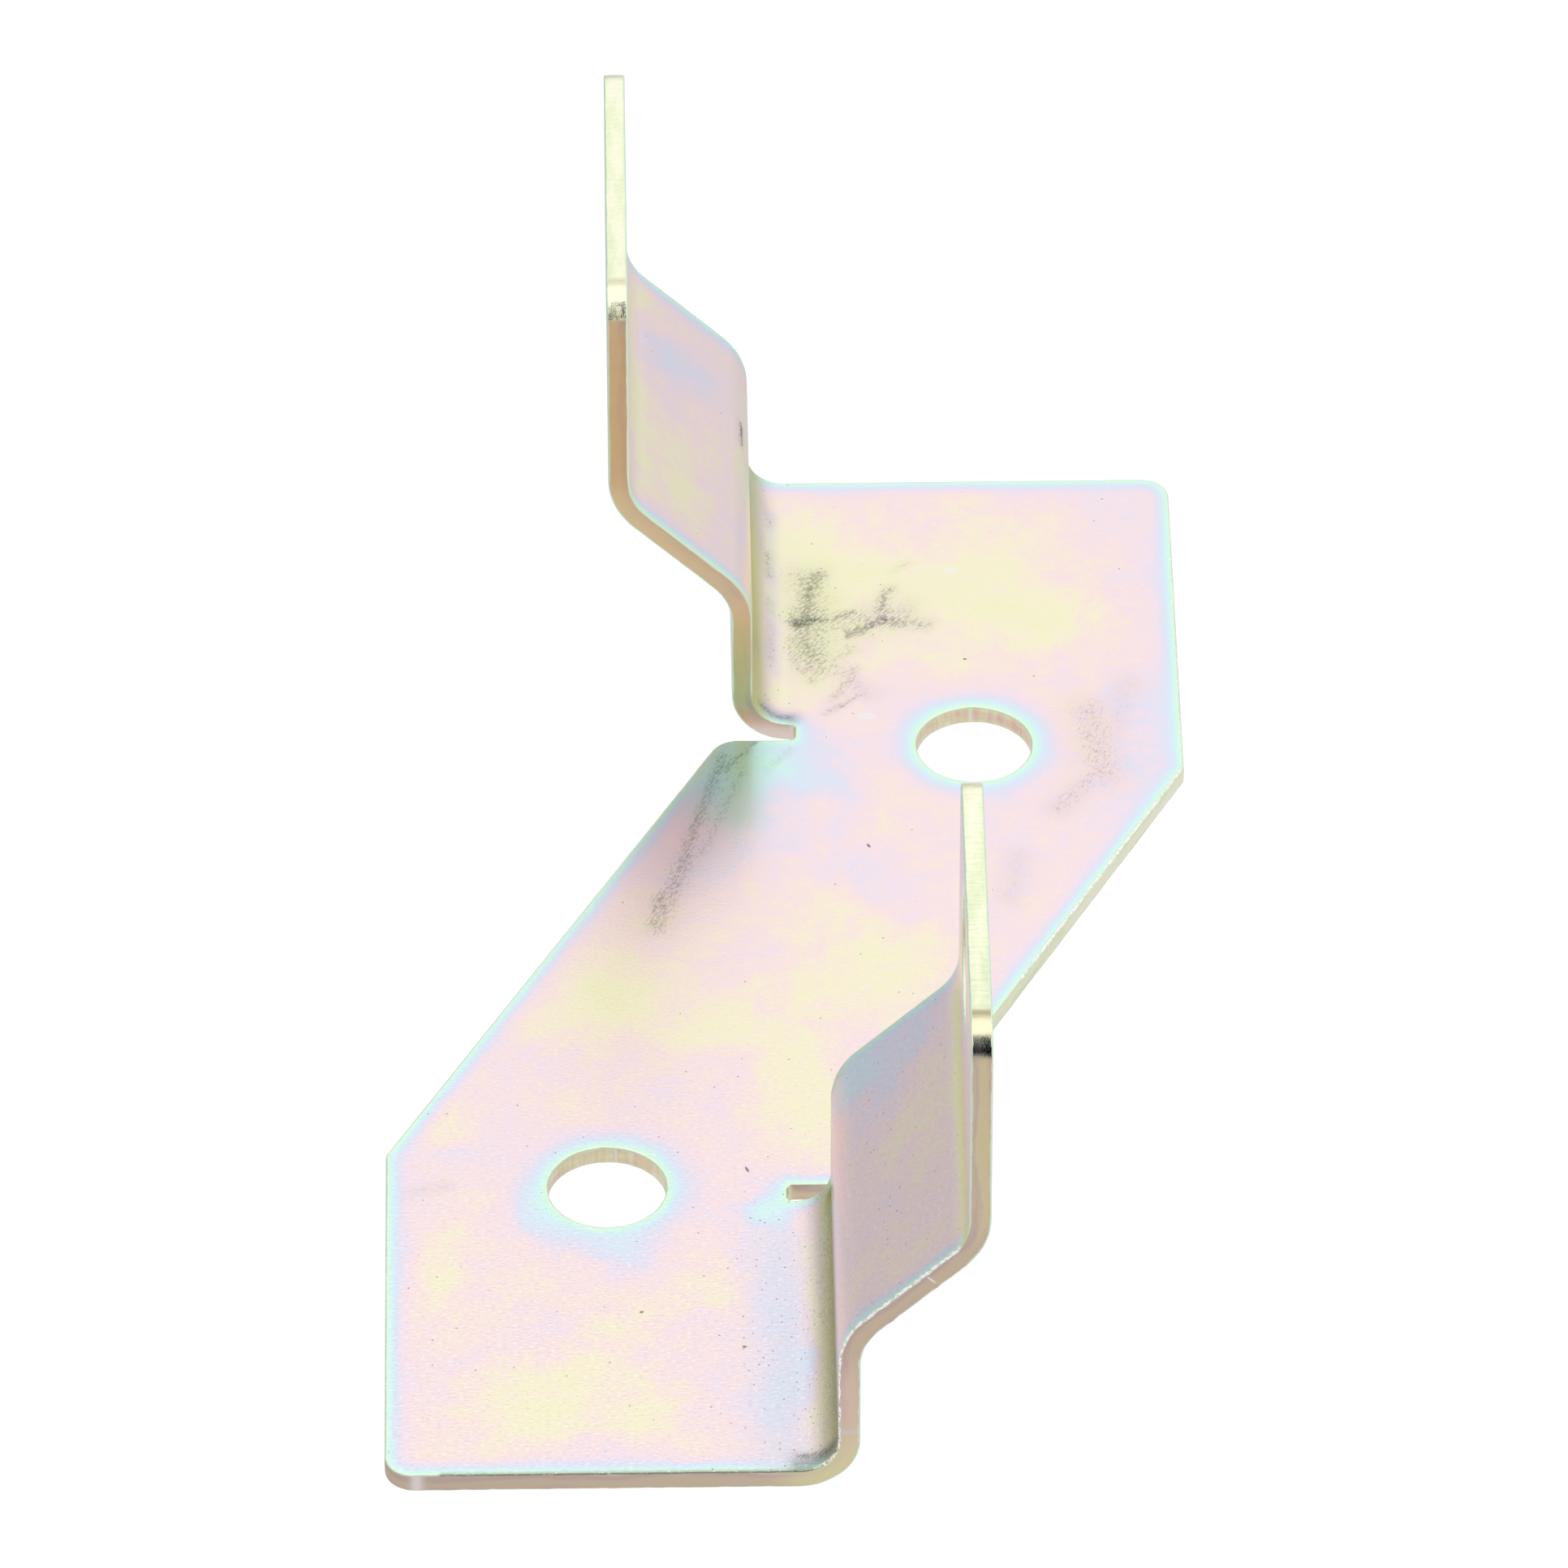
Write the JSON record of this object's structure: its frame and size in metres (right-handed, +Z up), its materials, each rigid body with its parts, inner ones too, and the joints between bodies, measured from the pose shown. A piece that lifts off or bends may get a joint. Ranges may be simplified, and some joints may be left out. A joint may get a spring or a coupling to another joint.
{
  "type": "mounting bracket",
  "caption": "Folded sheet-metal mounting bracket: a flat, slanted plate with bolt holes, and a joggled upright tab with a hole at each end, on opposite sides.",
  "frame": {"origin": "middle of the plate's underside, which is the bracket's half-turn centre", "axes": "+Z up from the plate, along the uprights; +Y along the bracket's length, to the rear; +X to the bracket's right, the side that the front upright's tab stands on"},
  "size_m": [0.0764, 0.1428, 0.054],
  "materials": {
    "yellow_zinc_plate": "yellow passivated zinc plate on laser-cut steel, satin, with faint interference colours"
  },
  "bodies": {
    "root": {"bracket": "yellow_zinc_plate"}
  },
  "joints": []
}
